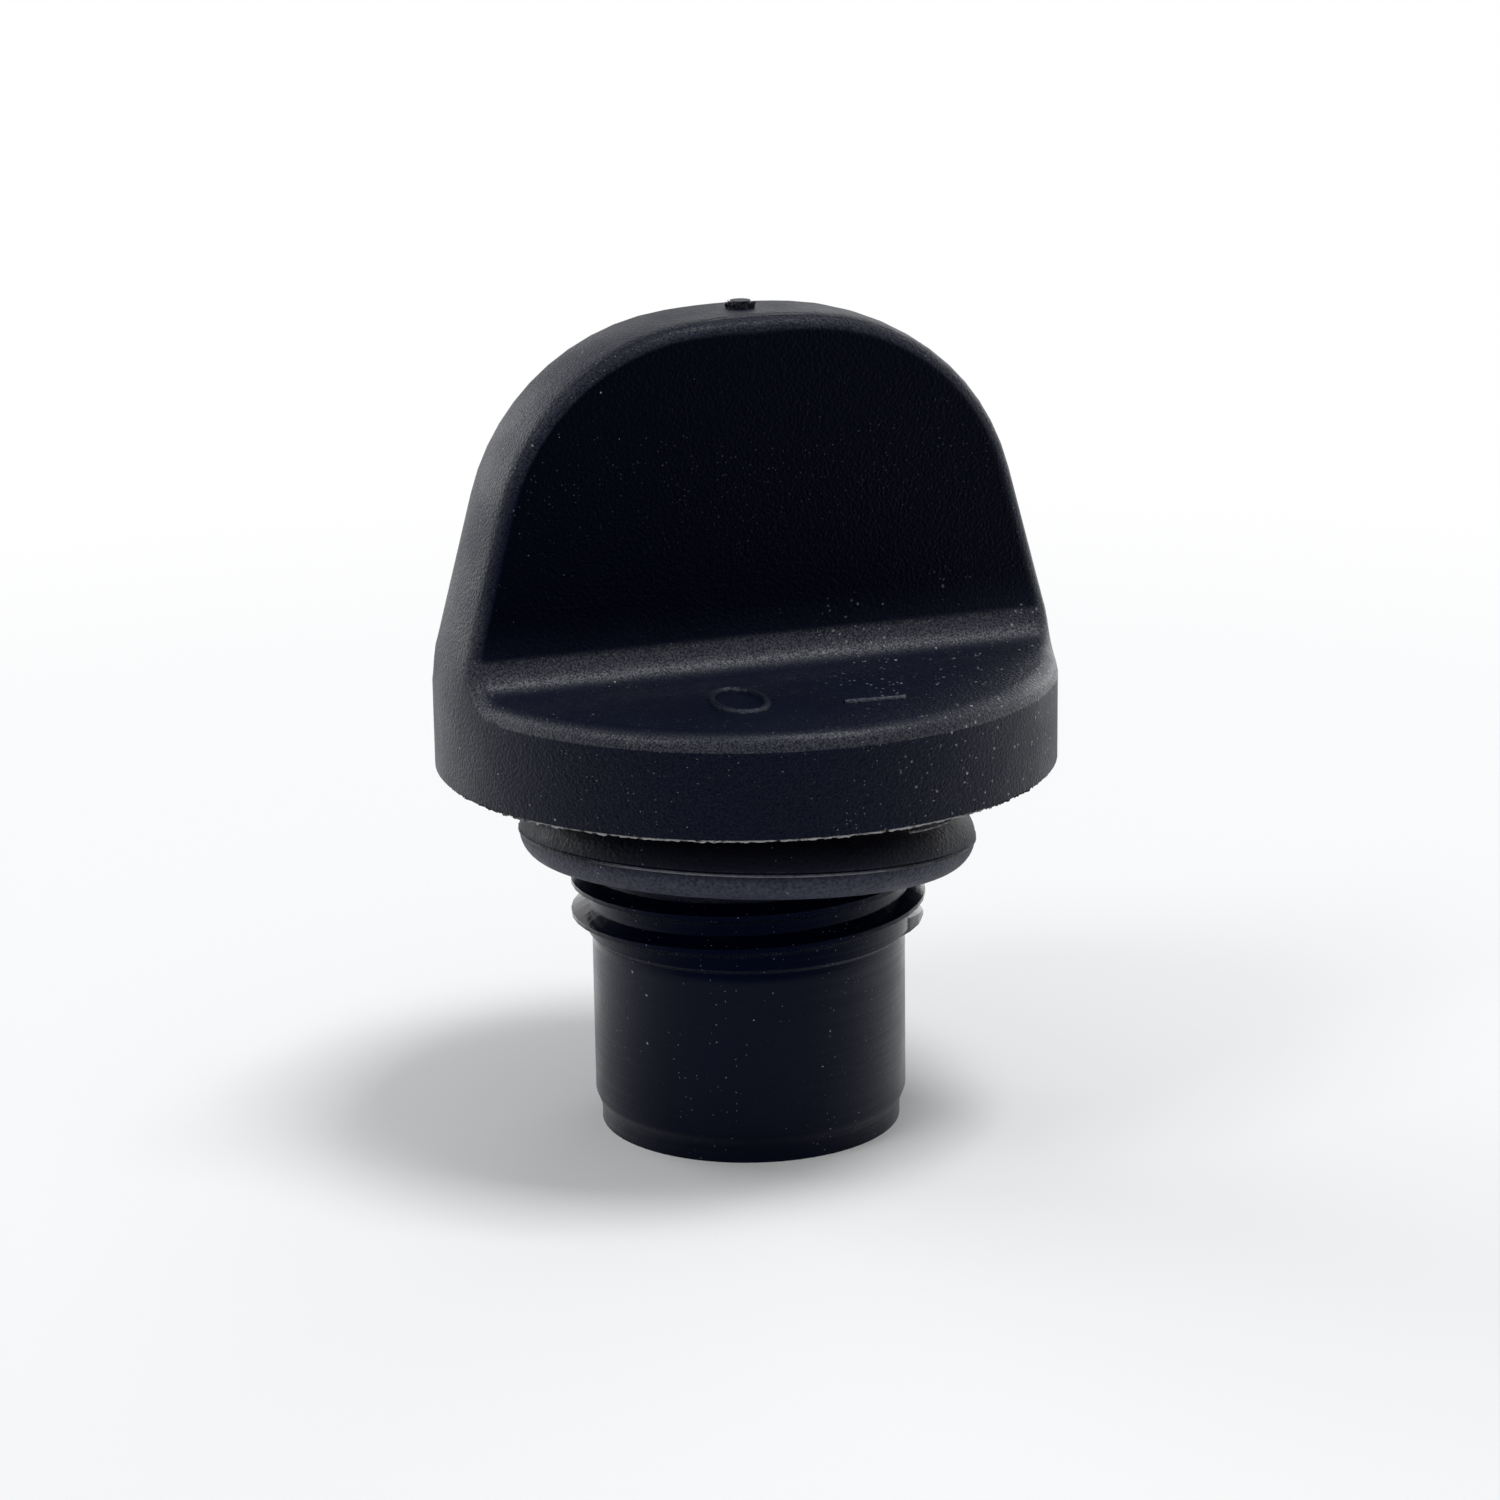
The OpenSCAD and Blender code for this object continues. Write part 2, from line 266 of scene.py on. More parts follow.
def makeDustGroup():
    tree, given, out, coords = newGroup("dustSpecks", dustSpecks["inputs"], ["Mask"])
    cells = tree.nodes.new("ShaderNodeTexVoronoi")
    link(tree, coords, cells.inputs["Vector"])
    link(tree, given["Scale"], cells.inputs["Scale"])
    pick = tree.nodes.new("ShaderNodeSeparateColor")
    link(tree, cells.outputs["Color"], pick.inputs[0])
    finer = times(tree, given["Scale"], dustSpecks["edgeScale"])
    ragged = noiseNode(tree, coords, finer, dustSpecks["edgeDetail"])
    radius = times(tree, times(tree, pick.outputs[1], given["Size"]), ragged)
    reach = times(tree, radius, dustSpecks["swell"])
    near = mathNode(tree, "LESS_THAN", cells.outputs["Distance"], reach)
    clump = noiseNode(tree, coords, given["Clump Scale"])
    dense = mathNode(tree, "GREATER_THAN", clump, given["Clump From"])
    share = times(tree, given["Amount"], mathNode(tree, "ADD", dense, dustSpecks["strays"]))
    chosen = mathNode(tree, "LESS_THAN", pick.outputs[0], share)
    link(tree, times(tree, near, chosen), out["Mask"])
    return tree


def makeGrainGroup():
    tree, given, out, coords = newGroup("mouldGrain", mouldGrain["inputs"], ["Height", "Patches"])
    detail = mouldGrain["detail"]
    fine = noiseNode(tree, coords, given["Scale"], detail, mouldGrain["fineRough"])
    pits = tree.nodes.new("ShaderNodeTexVoronoi")
    link(tree, coords, pits.inputs["Vector"])
    link(tree, times(tree, given["Scale"], mouldGrain["pitScale"]), pits.inputs["Scale"])
    pitted = times(tree, pits.outputs["Distance"], mouldGrain["pitDepth"])
    link(tree, mathNode(tree, "ADD", fine, pitted), out["Height"])
    wide = times(tree, given["Scale"], mouldGrain["patchScale"])
    link(tree, noiseNode(tree, coords, wide, detail), out["Patches"])
    return tree


groups = {"dust": makeDustGroup(), "grain": makeGrainGroup()}


def useGroup(tree, name, values):
    node = tree.nodes.new("ShaderNodeGroup")
    node.node_tree = groups[name]
    for label, value in values.items():
        node.inputs[label].default_value = value
    return node.outputs


def bumpNode(tree, height, distance, normal=None):
    node = tree.nodes.new("ShaderNodeBump")
    node.inputs["Distance"].default_value = distance
    link(tree, height, node.inputs["Height"])
    if normal is not None:
        link(tree, normal, node.inputs["Normal"])
    return node.outputs["Normal"]


# a value that drifts between two limits from patch to patch
def patchy(tree, patches, limits):
    return rangeNode(tree, patches, *mouldGrain["patchFrom"], *limits)


def roughen(tree, surface, values, depth):
    grain = useGroup(tree, "grain", values)
    link(tree, bumpNode(tree, grain["Height"], depth), surface["Normal"])
    return grain


def newMaterial(name, specular, tint=(1, 1, 1, 1)):
    material = bpy.data.materials.new(name)
    material.use_nodes = True
    surface = material.node_tree.nodes["Principled BSDF"].inputs
    surface["Specular IOR Level"].default_value = specular
    surface["Specular Tint"].default_value = tint
    return material, material.node_tree, surface


# black moulded plastic

plastic = {
    "color": (0.0004, 0.0012, 0.0066, 1),
    "paler": (0.0010, 0.0022, 0.0098, 1),
    "paintedFaceShade": (0.0001, 0.0004, 0.0024, 1),  # on the wing's flat faces, which the mould left dull; their darker colour is painted shade
    "specular": 0.5,
    "tint": (0.024, 0.034, 0.080, 1),  # dark when seen straight on, bright towards the edges
    "ior": 1.40,
    # places: heights, and how far a face leans, looks to the front or lies level
    "faceFrom": (45 * mm, 50 * mm),
    "faceTurn": (0.93, 0.99),
    "headFrom": (23 * mm, 26 * mm),  # below it the mould was polished
    "threadFrom": (16.6 * mm, 17.4 * mm),
    "leaningFrom": (0.06, 0.24),
    "scoopFrom": (0.10, 0.50),
    "levelFrom": (0.52, 1.0),
    "wingEdge": (47 * mm, 53 * mm),  # from here up the edges are duller
    "wingEdgeGloss": (1.0, 0.40),
    # a thin glossy skin, worn off the upright and the level faces
    "glossIor": 1.45,
    "glossRough": 0.42,
    "rimGloss": 0.12,
    "wingGloss": 0.05,
    "leaningGloss": 0.74,
    "levelGloss": 0.02,
    "faceGloss": 0.0,
    "spigotGloss": 0.13,
    "threadGloss": 0.0,
    "speckle": 6200.0,
    "speckleDetail": 1.0,
    "speckleFrom": (0.30, 0.70),
    "speckleGloss": (0.30, 1.70),
    "headRough": (0.42, 0.54),
    "threadRough": 0.15,
    "spigotRough": (0.22, 0.34),
    "dustColor": (0.14, 0.14, 0.16, 1),
    "dust": {
        "Scale": 2600.0, "Size": 0.16, "Amount": 0.42, "Clump Scale": 90.0, "Clump From": 0.46},
    "faceDust": 0.35,  # share of the dust that clings to the upright faces
    "crumbColor": (0.22, 0.22, 0.24, 1),
    "crumbs": {
        "Scale": 1300.0, "Size": 0.15, "Amount": 0.08, "Clump Scale": 60.0, "Clump From": 0.50},
    # dust that has settled on the scoop's floor and the rim, towards +X in front
    "drift": {
        "Scale": 1900.0, "Size": 0.25, "Amount": 0.62, "Clump Scale": 210.0, "Clump From": 0.50},
    # axis, its limits and the share of that dust at each
    "driftWhere": (
        ("X", (-2 * mm, 10 * mm), (0.0, 1.0)),
        ("Z", (45 * mm, 52 * mm), (1.0, 0.0)),
        ("Y", (-6 * mm, -4 * mm), (1.0, 0.0))),
    "grain": {"Scale": 3800.0},
    "grainDepth": 0.11 * mm,
    "spigotGrain": 0.10,  # share of the grain that is left on the spigot
    "flowScale": (40.0, 40.0, 900.0),
    "flowDepth": 0.12 * mm,
}


def plasticMasks(tree):
    coords = tree.nodes.new("ShaderNodeTexCoord").outputs["Object"]
    place = splitNode(tree, coords)
    normal = splitNode(tree, tree.nodes.new("ShaderNodeNewGeometry").outputs["Normal"])
    upright = mathNode(tree, "ABSOLUTE", normal["Z"])
    frontal = mathNode(tree, "ABSOLUTE", normal["Y"])
    onWing = rangeNode(tree, place["Z"], *plastic["faceFrom"])
    duller = rangeNode(tree, place["Z"], *plastic["wingEdge"], *plastic["wingEdgeGloss"])
    leaning = rangeNode(tree, upright, *plastic["leaningFrom"])
    leaning = times(tree, leaning, rangeNode(tree, frontal, *plastic["scoopFrom"]))
    return {
        "coords": coords,
        "place": place,
        "onHead": rangeNode(tree, place["Z"], *plastic["headFrom"]),
        "onThread": rangeNode(tree, place["Z"], *plastic["threadFrom"]),
        "onWing": onWing,
        "face": times(tree, rangeNode(tree, frontal, *plastic["faceTurn"]), onWing),
        "leaning": times(tree, leaning, duller),
        "level": rangeNode(tree, normal["Z"], *plastic["levelFrom"]),
    }


def settledDust(tree, masks):
    drift = useGroup(tree, "dust", plastic["drift"])["Mask"]
    for axis, (low, high), ends in plastic["driftWhere"]:
        drift = times(tree, drift, rangeNode(tree, masks["place"][axis], low, high, *ends))
    return times(tree, drift, masks["onHead"])


def plasticColor(tree, masks, grain):
    dust = useGroup(tree, "dust", plastic["dust"])["Mask"]
    crumbs = useGroup(tree, "dust", plastic["crumbs"])["Mask"]
    body = mixNode(tree, grain["Patches"], plastic["color"], plastic["paler"])
    # the wing's flat faces are darkened here: painted shade
    body = mixNode(tree, masks["face"], body, plastic["paintedFaceShade"])
    dust = times(tree, dust, mixNode(tree, masks["face"], 1.0, plastic["faceDust"], "FLOAT"))
    body = mixNode(tree, dust, body, plastic["dustColor"])
    crumbs = mathNode(tree, "MAXIMUM", crumbs, settledDust(tree, masks))
    return mixNode(tree, crumbs, body, plastic["crumbColor"])


def plasticGloss(tree, masks):
    gloss = mixNode(tree, masks["onWing"], plastic["rimGloss"], plastic["wingGloss"], "FLOAT")
    for zone in ("leaning", "level", "face"):
        gloss = mixNode(tree, masks[zone], gloss, plastic[zone + "Gloss"], "FLOAT")
    speckle = noiseNode(tree, masks["coords"], plastic["speckle"], plastic["speckleDetail"])
    speckle = rangeNode(tree, speckle, *plastic["speckleFrom"], *plastic["speckleGloss"])
    gloss = times(tree, gloss, speckle)
    spigot, thread = plastic["spigotGloss"], plastic["threadGloss"]
    lower = mixNode(tree, masks["onThread"], spigot, thread, "FLOAT")
    return mixNode(tree, masks["onHead"], lower, gloss, "FLOAT")


def plasticRough(tree, masks, grain):
    head = patchy(tree, grain["Patches"], plastic["headRough"])
    spigot = patchy(tree, grain["Patches"], plastic["spigotRough"])
    lower = mixNode(tree, masks["onThread"], spigot, plastic["threadRough"], "FLOAT")
    return mixNode(tree, masks["onHead"], lower, head, "FLOAT")


# flow lines round the spigot, and the grain over them
def plasticNormal(tree, masks, grain):
    stretch = tree.nodes.new("ShaderNodeMapping")
    stretch.inputs["Scale"].default_value = plastic["flowScale"]
    link(tree, masks["coords"], stretch.inputs["Vector"])
    below = mathNode(tree, "SUBTRACT", 1.0, masks["onHead"])
    flow = times(tree, noiseNode(tree, stretch.outputs[0], 1.0), below)
    flowing = bumpNode(tree, flow, plastic["flowDepth"])
    share = rangeNode(tree, masks["onHead"], 0.0, 1.0, plastic["spigotGrain"], 1.0)
    return bumpNode(tree, times(tree, grain["Height"], share), plastic["grainDepth"], flowing)


def makePlastic():
    material, tree, surface = newMaterial("blackPlastic", plastic["specular"], plastic["tint"])
    surface["IOR"].default_value = plastic["ior"]
    surface["Coat IOR"].default_value = plastic["glossIor"]
    surface["Coat Roughness"].default_value = plastic["glossRough"]
    masks = plasticMasks(tree)
    grain = useGroup(tree, "grain", plastic["grain"])
    link(tree, plasticColor(tree, masks, grain), surface["Base Color"])
    link(tree, plasticGloss(tree, masks), surface["Coat Weight"])
    link(tree, plasticRough(tree, masks, grain), surface["Roughness"])
    link(tree, plasticNormal(tree, masks, grain), surface["Normal"])
    return material


# making pieces

def clearSelection():
    bpy.ops.object.select_all(action="DESELECT")


def applyModifier(piece, kind, **values):
    modifier = piece.modifiers.new(kind.lower(), kind)
    for label, value in values.items():
        setattr(modifier, label, value)
    bpy.context.view_layer.objects.active = piece
    bpy.ops.object.modifier_apply(modifier=modifier.name)


def editOnly(piece, test):
    bpy.ops.object.mode_set(mode="EDIT")
    bpy.ops.mesh.select_mode(type="VERT")
    bpy.ops.mesh.select_all(action="DESELECT")
    bpy.ops.object.mode_set(mode="OBJECT")
    for vertex in piece.data.vertices:
        vertex.select = test(vertex.co)
    bpy.ops.object.mode_set(mode="EDIT")


def editAll(piece):
    editOnly(piece, lambda co: True)


def endEdit(piece):
    bpy.ops.mesh.select_all(action="SELECT")
    bpy.ops.mesh.normals_make_consistent(inside=False)
    bpy.ops.object.mode_set(mode="OBJECT")


def settle(piece, material, angle):
    bpy.context.view_layer.objects.active = piece
    piece.select_set(True)
    bpy.ops.object.transform_apply(location=True, rotation=True, scale=True)
    bpy.ops.object.shade_smooth_by_angle(angle=math.radians(angle))
    piece.data.materials.clear()
    piece.data.materials.append(material)
    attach(piece, "root")


def around(co):
    return math.hypot(co.x, co.y)


def addTorus(name, radius, thick, segments, height=0):
    clearSelection()
    bpy.ops.mesh.primitive_torus_add(
        major_segments=segments[0], minor_segments=segments[1],
        major_radius=radius, minor_radius=thick, location=(0, 0, height))
    piece = bpy.context.object
    piece.name = name
    return piece


def curveToMesh(piece, values):
    piece.data.bevel_depth = values["thick"]
    piece.data.bevel_resolution = values["bevelSteps"]
    piece.data.resolution_u = values["lengthSteps"]
    bpy.ops.object.convert(target="MESH")
    editAll(piece)
    bpy.ops.mesh.remove_doubles(threshold=weld)


# the cap's shell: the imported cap, with its facets smoothed

shell = {
    "sharpAngle": 18,
    "threadFrom": 17.0 * mm,
    "threadTo": 27.5 * mm,
    "threadReach": 16.3 * mm,
    # round the marks and the gate the facets stay flat, from corner to corner
    "flatZones": (
        ((-10 * mm, -22.5 * mm, 42.6 * mm), (8 * mm, -11.5 * mm, 44 * mm)),
        ((-4.5 * mm, -4.5 * mm, 73 * mm), (4.5 * mm, 4.5 * mm, 75 * mm))),
}


def inFlatZone(center):
    for low, high in shell["flatZones"]:
        if all(a < c < b for a, c, b in zip(low, center, high)):
            return True
    return False


def onThread(center):
    level = shell["threadFrom"] < center.z < shell["threadTo"]
    return level and around(center) <= shell["threadReach"]


# on the thread each facet's own normal is turned round the axis, so that it shades evenly
def turnNormals(piece):
    mesh = piece.data
    normals = [corner.vector.copy() for corner in mesh.corner_normals]
    for face in mesh.polygons:
        if inFlatZone(face.center):
            for i in face.loop_indices:
                normals[i] = face.normal
        elif onThread(face.center):
            start = math.atan2(face.center.y, face.center.x)
            for i in face.loop_indices:
                co = mesh.vertices[mesh.loops[i].vertex_index].co
                turn = Matrix.Rotation(math.atan2(co.y, co.x) - start, 3, "Z")
                normals[i] = turn @ face.normal
    mesh.normals_split_custom_set(normals)


def makeShell():
    clearSelection()
    piece = bpy.data.objects.new("capShell", capBody.data.copy())
    bpy.context.collection.objects.link(piece)
    bpy.context.view_layer.objects.active = piece
    piece.select_set(True)
    bpy.ops.object.mode_set(mode="EDIT")
    bpy.ops.mesh.select_all(action="SELECT")
    bpy.ops.mesh.remove_doubles(threshold=weld)
    bpy.ops.object.mode_set(mode="OBJECT")
    settle(piece, makePlastic(), shell["sharpAngle"])
    applyModifier(piece, "WEIGHTED_NORMAL", keep_sharp=True)
    turnNormals(piece)
    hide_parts("cap_body")


makeShell()
print("shell made")


# seal ring

rubber = {
    "color": (0.0008, 0.0012, 0.0040, 1),
    "paler": (0.0050, 0.0056, 0.0105, 1),
    "palerFrom": (0.35, 0.65),
    "dustAndFloorLight": (0.0480, 0.0510, 0.0760, 1),  # on the underside: dust from lying on things, and painted light from the pale floor below
    "dustAndFloorLightFrom": (0.10, -0.25),
    "speckleFrom": (0.20, 1.15),
    "dustColor": (0.24, 0.24, 0.27, 1),
    "dust": {
        "Scale": 2100.0, "Size": 0.17, "Amount": 0.24, "Clump Scale": 160.0, "Clump From": 0.45},
    "specular": 0.5,
    "tint": (0.10, 0.11, 0.14, 1),
    "roughness": (0.50, 0.68),
    "grain": {"Scale": 3200.0},
    "grainDepth": 0.09 * mm,
}

seal = {
    "radius": 17.8 * mm,
    "thick": 2.7 * mm,
    "segments": (256, 48),
    "middle": 26.85 * mm,
    "tilt": -5.8,  # it sits askew on its neck
    "turn": 229,  # and rises on this side, in degrees round from +X
    # the mould's joint line: a ragged lip with a crack along its upper side
    "lipWidth": 0.13 * mm,
    "lipSteps": 2,
    "lipOut": 0.10 * mm,
    "lipRagged": 0.07 * mm,
    "crackDepth": -0.06 * mm,
    "seed": 3,
    "smoothAngle": 50,
}


def makeRubber():
    material, tree, surface = newMaterial("sealRubber", rubber["specular"], rubber["tint"])
    grain = roughen(tree, surface, rubber["grain"], rubber["grainDepth"])
    dust = useGroup(tree, "dust", rubber["dust"])["Mask"]
    blotch = rangeNode(tree, grain["Patches"], *rubber["palerFrom"])
    body = mixNode(tree, blotch, rubber["color"], rubber["paler"])
    normal = splitNode(tree, tree.nodes.new("ShaderNodeNewGeometry").outputs["Normal"])
    # lighter where the ring faces down: dust, and painted light bounced from the floor
    dustAndFloorLightMask = rangeNode(tree, normal["Z"], *rubber["dustAndFloorLightFrom"])
    speckle = rangeNode(tree, grain["Height"], *rubber["speckleFrom"])
    body = mixNode(tree, times(tree, dustAndFloorLightMask, speckle), body, rubber["dustAndFloorLight"])
    link(tree, mixNode(tree, dust, body, rubber["dustColor"]), surface["Base Color"])
    link(tree, patchy(tree, grain["Patches"], rubber["roughness"]), surface["Roughness"])
    return material


def placeOnNeck(piece):
    piece.rotation_euler = (0, math.radians(seal["tilt"]), math.radians(seal["turn"]))
    piece.location = (0, 0, seal["middle"])


def makeSeal():
    piece = addTorus("sealRing", seal["radius"], seal["thick"], seal["segments"])
    edge = seal["radius"] + seal["thick"]
    editOnly(piece, lambda co: abs(co.z) < tiny and around(co) > seal["radius"])
    bpy.ops.mesh.bevel(offset=seal["lipWidth"], segments=seal["lipSteps"], affect="EDGES")
    editOnly(piece, lambda co: abs(co.z) < tiny and around(co) > edge - tiny)
    bpy.ops.transform.shrink_fatten(value=seal["lipOut"])
    bpy.ops.transform.vertex_random(offset=seal["lipRagged"], normal=1.0, seed=seal["seed"])
    near = 2 * seal["lipWidth"]
    editOnly(piece, lambda co: tiny < co.z < near and around(co) > edge - near)
    bpy.ops.transform.shrink_fatten(value=seal["crackDepth"])
    endEdit(piece)
    placeOnNeck(piece)
    settle(piece, makeRubber(), seal["smoothAngle"])
    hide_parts("seal_ring")


# the rubber's own flash, a thin worn thread that stands on the joint line; its pale patches are
# wear and also a painted highlight along the lip

seam = {
    "radius": 20.49 * mm,
    "thick": 0.10 * mm,
    "segments": (256, 6),
    "cuts": 2,
    "drop": -0.15 * mm,
    "ragged": 0.035 * mm,
    "seed": 7,
    "wornAndHighlight": (0.15, 0.15, 0.17, 1),
    "wornAndHighlightFrom": (0.40, 0.62),
    "smoothAngle": 60,
}


def makeWornHighlightRubber():
    material, tree, surface = newMaterial("wornHighlightRubber", rubber["specular"], rubber["tint"])
    grain = roughen(tree, surface, rubber["grain"], rubber["grainDepth"])
    # pale in patches: wear, and a painted highlight along the seal's lip
    wornAndHighlight = rangeNode(tree, grain["Patches"], *seam["wornAndHighlightFrom"])
    link(tree, mixNode(tree, wornAndHighlight, rubber["color"], seam["wornAndHighlight"]), surface["Base Color"])
    link(tree, patchy(tree, grain["Patches"], rubber["roughness"]), surface["Roughness"])
    return material


def makeSeam():
    piece = addTorus("sealSeam", seam["radius"], seam["thick"], seam["segments"])
    editAll(piece)
    bpy.ops.mesh.subdivide(number_cuts=seam["cuts"])
    bpy.ops.transform.vertex_random(offset=seam["ragged"], seed=seam["seed"])
    bpy.ops.transform.translate(value=(0, 0, seam["drop"]))
    endEdit(piece)
    placeOnNeck(piece)
    settle(piece, makeWornHighlightRubber(), seam["smoothAngle"])


makeSeal()
makeSeam()
print("seal made")


# flash: the torn burr along the rim's lower edge

flash = {
    "radius": 27.40 * mm,
    "height": 33.86 * mm,
    "thick": 0.15 * mm,
    "segments": (256, 6),
    "cuts": 3,
    "lumpSize": 0.6 * mm,
    "lumpDetail": 2,
    "lumpDepth": 0.32 * mm,
    "lumpMiddle": 0.55,
    "ragged": 0.05 * mm,
    "seed": 5,
    "sideRagged": 0.18 * mm,
    "sideSeed": 6,
    "smoothAngle": 60,
    "dark": (0.002, 0.003, 0.007, 1),
    "pale": (0.34, 0.34, 0.35, 1),
    "paleFrom": (0.30, 0.48),
    "paleScale": 1100.0,
    "paintedLightSide": (-0.35, -0.94, 0),  # the torn edge is whitened in spots, and paler on this side only: painted light
    "paintedLightReach": (16 * mm, 21 * mm),
    "specular": 0.2,
    "roughness": (0.4, 0.7),
}


def makeTorn():
    material, tree, surface = newMaterial("tornPlastic", flash["specular"])
    roughen(tree, surface, plastic["grain"], plastic["grainDepth"])
    coords = tree.nodes.new("ShaderNodeTexCoord").outputs["Object"]
    spots = noiseNode(tree, coords, flash["paleScale"])
    side = tree.nodes.new("ShaderNodeVectorMath")
    side.operation = "DOT_PRODUCT"
    link(tree, coords, side.inputs[0])
    side.inputs[1].default_value = flash["paintedLightSide"]
    # the whitened spots show only towards the front: painted light on that side
    reach = rangeNode(tree, side.outputs["Value"], *flash["paintedLightReach"])
    pale = times(tree, rangeNode(tree, spots, *flash["paleFrom"]), reach)
    link(tree, mixNode(tree, pale, flash["dark"], flash["pale"]), surface["Base Color"])
    link(tree, patchy(tree, spots, flash["roughness"]), surface["Roughness"])
    return material


torn = makeTorn()


def makeFlash():
    piece = addTorus(
        "rimFlash", flash["radius"], flash["thick"], flash["segments"], flash["height"])
    bpy.ops.object.transform_apply(location=True)
    editAll(piece)
    bpy.ops.mesh.subdivide(number_cuts=flash["cuts"])
    endEdit(piece)
    lumps = bpy.data.textures.new("flashLumps", "CLOUDS")
    lumps.noise_scale = flash["lumpSize"]
    lumps.noise_depth = flash["lumpDetail"]
    applyModifier(
        piece, "DISPLACE", texture=lumps, strength=flash["lumpDepth"],
        mid_level=flash["lumpMiddle"], texture_coords="LOCAL")
    editAll(piece)
    bpy.ops.transform.vertex_random(offset=flash["ragged"], seed=flash["seed"])
    side = Vector(flash["paintedLightSide"])
    editOnly(piece, lambda co: co.dot(side) < flash["paintedLightReach"][1])
    bpy.ops.transform.vertex_random(offset=flash["sideRagged"], seed=flash["sideSeed"])
    endEdit(piece)
    settle(piece, torn, flash["smoothAngle"])


# strand: a sliver of flash that has torn off and hangs from the rim's edge

strand = {
    # degrees round the axis, radius and height of each point
    "points": (
        (-68.6, 27.45 * mm, 34.02 * mm),
        (-70.4, 27.35 * mm, 33.62 * mm),
        (-73.2, 27.15 * mm, 33.25 * mm),
        (-76.2, 26.90 * mm, 33.08 * mm),
        (-79.6, 26.70 * mm, 33.12 * mm)),
    "thick": 0.13 * mm,
    "bevelSteps": 2,
    "lengthSteps": 16,
    "ragged": 0.05 * mm,
    "seed": 9,
    "smoothAngle": 60,
    "color": (0.20, 0.18, 0.185, 1),
    "darker": (0.05, 0.05, 0.06, 1),
    "darkerFrom": (0.45, 0.85),
    "specular": 0.3,
    "roughness": (0.4, 0.6),
}


def makeWhitened():
    material, tree, surface = newMaterial("whitenedPlastic", strand["specular"])
    grain = roughen(tree, surface, plastic["grain"], plastic["grainDepth"])
    blotch = rangeNode(tree, grain["Height"], *strand["darkerFrom"])
    link(tree, mixNode(tree, blotch, strand["color"], strand["darker"]), surface["Base Color"])
    link(tree, patchy(tree, grain["Patches"], strand["roughness"]), surface["Roughness"])
    return material


def makeStrand():
    clearSelection()
    bpy.ops.curve.primitive_nurbs_path_add(radius=1, location=(0, 0, 0))
    piece = bpy.context.object
    piece.name = "flashStrand"
    for point, (turn, radius, height) in zip(piece.data.splines[0].points, strand["points"]):
        turn = math.radians(turn)
        point.co = (radius * math.cos(turn), radius * math.sin(turn), height, 1)
    piece.data.use_fill_caps = True
    curveToMesh(piece, strand)
    bpy.ops.transform.vertex_random(offset=strand["ragged"], seed=strand["seed"])
    endEdit(piece)
    settle(piece, makeWhitened(), strand["smoothAngle"])


makeFlash()
makeStrand()
print("flash made")


# gate nub: where the part was broken off its runner

nub = {
    "radius": 1.22 * mm,
    "bottom": 73.9 * mm,
    "top": 74.50 * mm,
    "sides": 28,
    "inset": 0.35 * mm,
    "insetDepths": (-0.1 * mm, 0.12 * mm),
    "cuts": 2,
    "raggedFrom": 74.1 * mm,
    "ragged": 0.25 * mm,
    "seed": 11,
    "smoothAngle": 30,
}


def makeNub():
    clearSelection()
    tall = nub["top"] - nub["bottom"]
    bpy.ops.mesh.primitive_cylinder_add(
        vertices=nub["sides"], radius=nub["radius"], depth=tall,
        location=(0, 0, nub["bottom"] + tall / 2))
    piece = bpy.context.object
    piece.name = "gateNub"
    bpy.ops.object.transform_apply(location=True)
    editOnly(piece, lambda co: co.z > nub["top"] - tiny)
    for depth in nub["insetDepths"]:
        bpy.ops.mesh.inset(thickness=nub["inset"], depth=depth)
    bpy.ops.mesh.poke()
    bpy.ops.mesh.select_all(action="SELECT")
    bpy.ops.mesh.subdivide(number_cuts=nub["cuts"])
    editOnly(piece, lambda co: co.z > nub["raggedFrom"])
    bpy.ops.transform.vertex_random(offset=nub["ragged"], seed=nub["seed"])
    endEdit(piece)
    settle(piece, torn, nub["smoothAngle"])


makeNub()
print("nub made")


# raised marks on the front floor: a ring and a bar, both plain

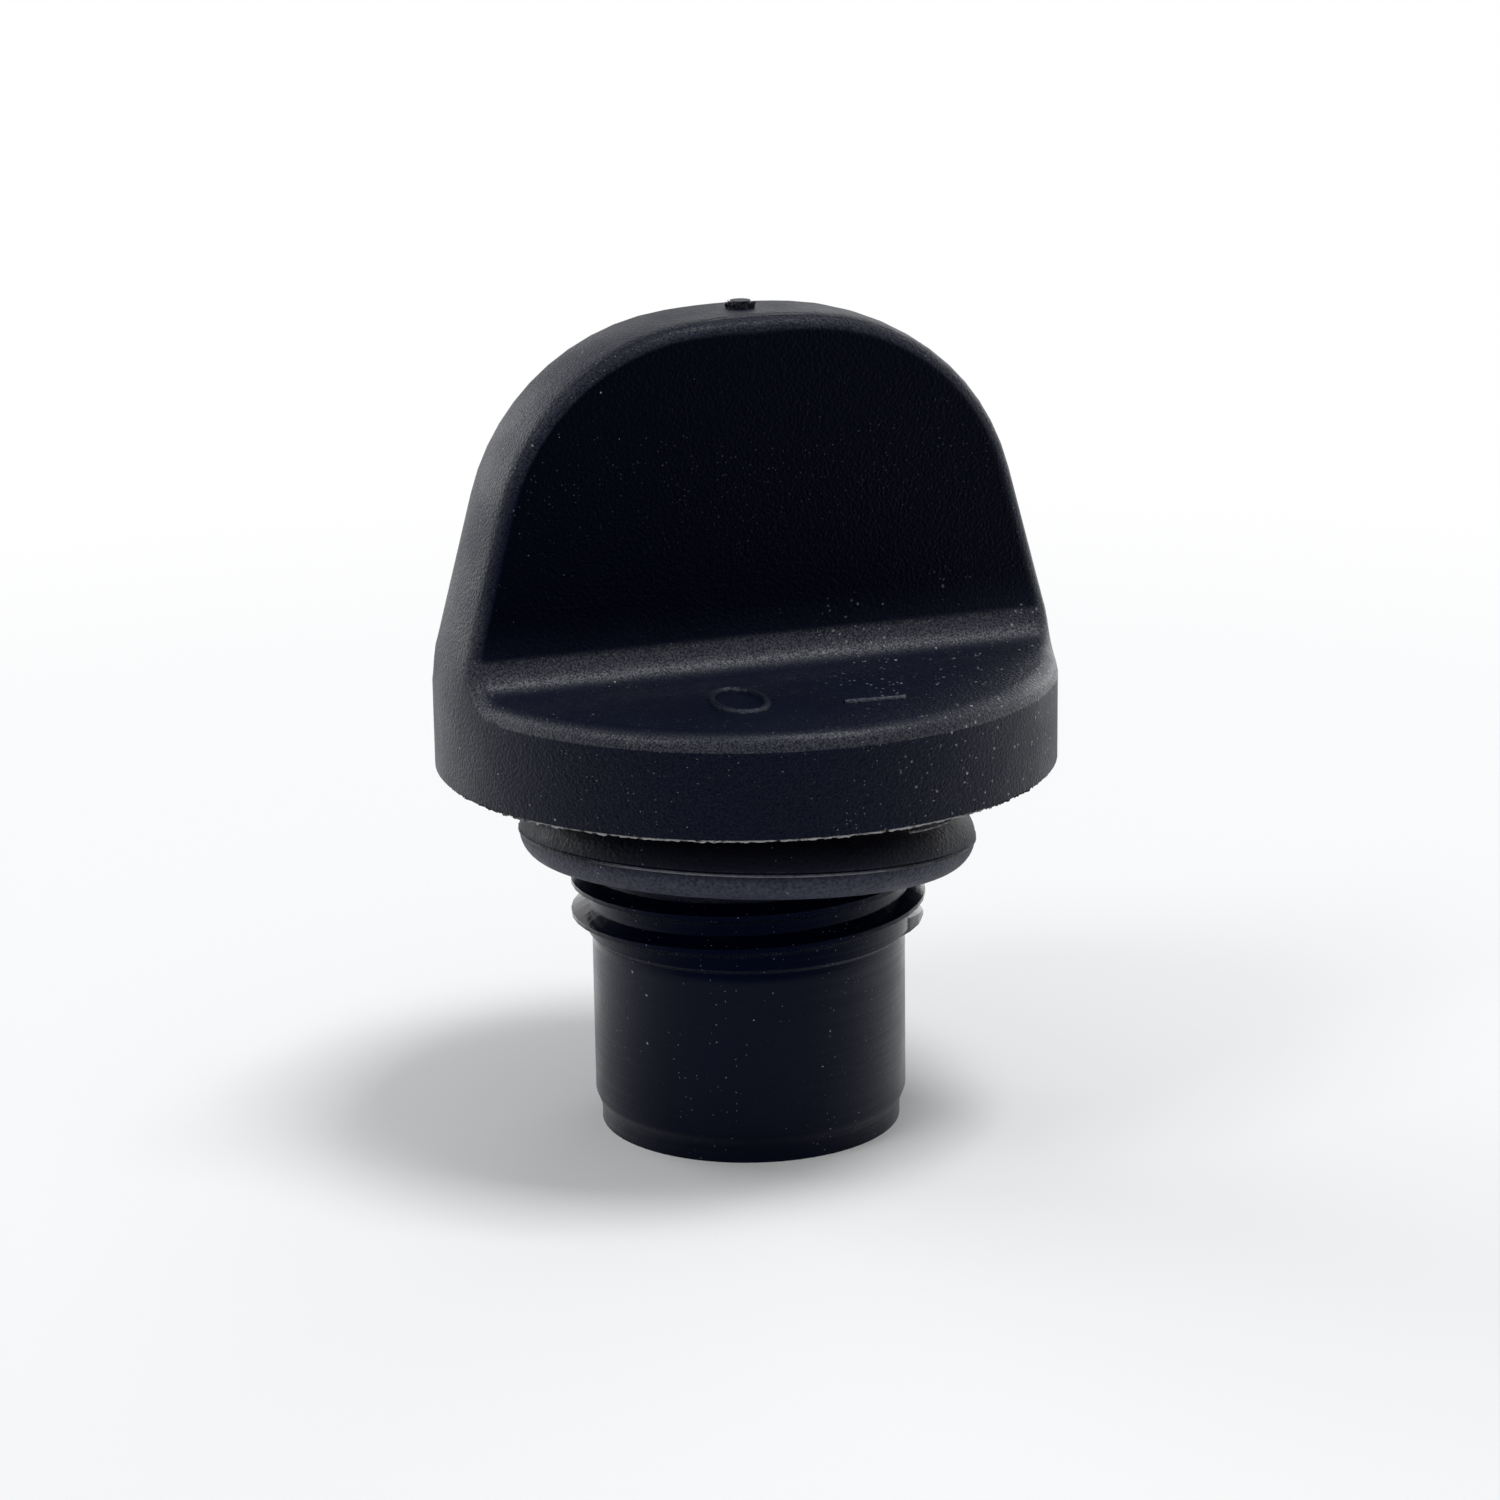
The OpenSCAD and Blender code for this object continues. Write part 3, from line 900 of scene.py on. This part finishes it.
marks = {
    "level": 43.12 * mm,
    "turn": -6,
    "thick": 0.34 * mm,
    "ringAt": (-6.4 * mm, -15.6 * mm),
    "ringHalf": (2.25 * mm, 3.95 * mm),
    "bevelSteps": 4,
    "lengthSteps": 24,
    "barAt": (4.3 * mm, -19.95 * mm),
    "barLength": 5.4 * mm,
    "barSides": 20,
    "barRound": 0.9,  # share of the bar's thickness that its ends are rounded by
    "barRoundSteps": 5,
    "smoothAngle": 60,
    "tint": (0.62, 0.66, 0.76, 1),
    "roughness": (0.30, 0.46),
}


def makePolished():
    material, tree, surface = newMaterial("polishedPlastic", plastic["specular"], marks["tint"])
    grain = roughen(tree, surface, plastic["grain"], plastic["flowDepth"])
    body = mixNode(tree, grain["Patches"], plastic["color"], plastic["paler"])
    link(tree, body, surface["Base Color"])
    link(tree, patchy(tree, grain["Patches"], marks["roughness"]), surface["Roughness"])
    return material


def placeMark(piece, place, material):
    piece.rotation_euler = (0, 0, math.radians(marks["turn"]))
    piece.location = (*place, marks["level"])
    settle(piece, material, marks["smoothAngle"])


def makeRingMark(material):
    clearSelection()
    bpy.ops.curve.primitive_bezier_circle_add(radius=1, location=(0, 0, 0))
    piece = bpy.context.object
    piece.name = "ringMark"
    piece.scale = (*marks["ringHalf"], 1)
    bpy.ops.object.transform_apply(scale=True)
    for point in piece.data.splines[0].bezier_points:
        point.radius = 1  # applying the scale has made it thin
    curveToMesh(piece, marks)
    endEdit(piece)
    placeMark(piece, marks["ringAt"], material)


def makeBarMark(material):
    clearSelection()
    bpy.ops.mesh.primitive_cylinder_add(
        vertices=marks["barSides"], radius=marks["thick"], depth=marks["barLength"],
        rotation=(0, math.pi / 2, 0))
    piece = bpy.context.object
    piece.name = "barMark"
    bpy.ops.object.transform_apply(rotation=True)
    editAll(piece)
    bpy.ops.mesh.bevel(
        offset=marks["barRound"] * marks["thick"], segments=marks["barRoundSteps"],
        affect="EDGES", clamp_overlap=True)
    endEdit(piece)
    placeMark(piece, marks["barAt"], material)


polished = makePolished()
makeRingMark(polished)
makeBarMark(polished)
print("marks made")

bpy.context.scene.view_settings.view_transform = "Standard"
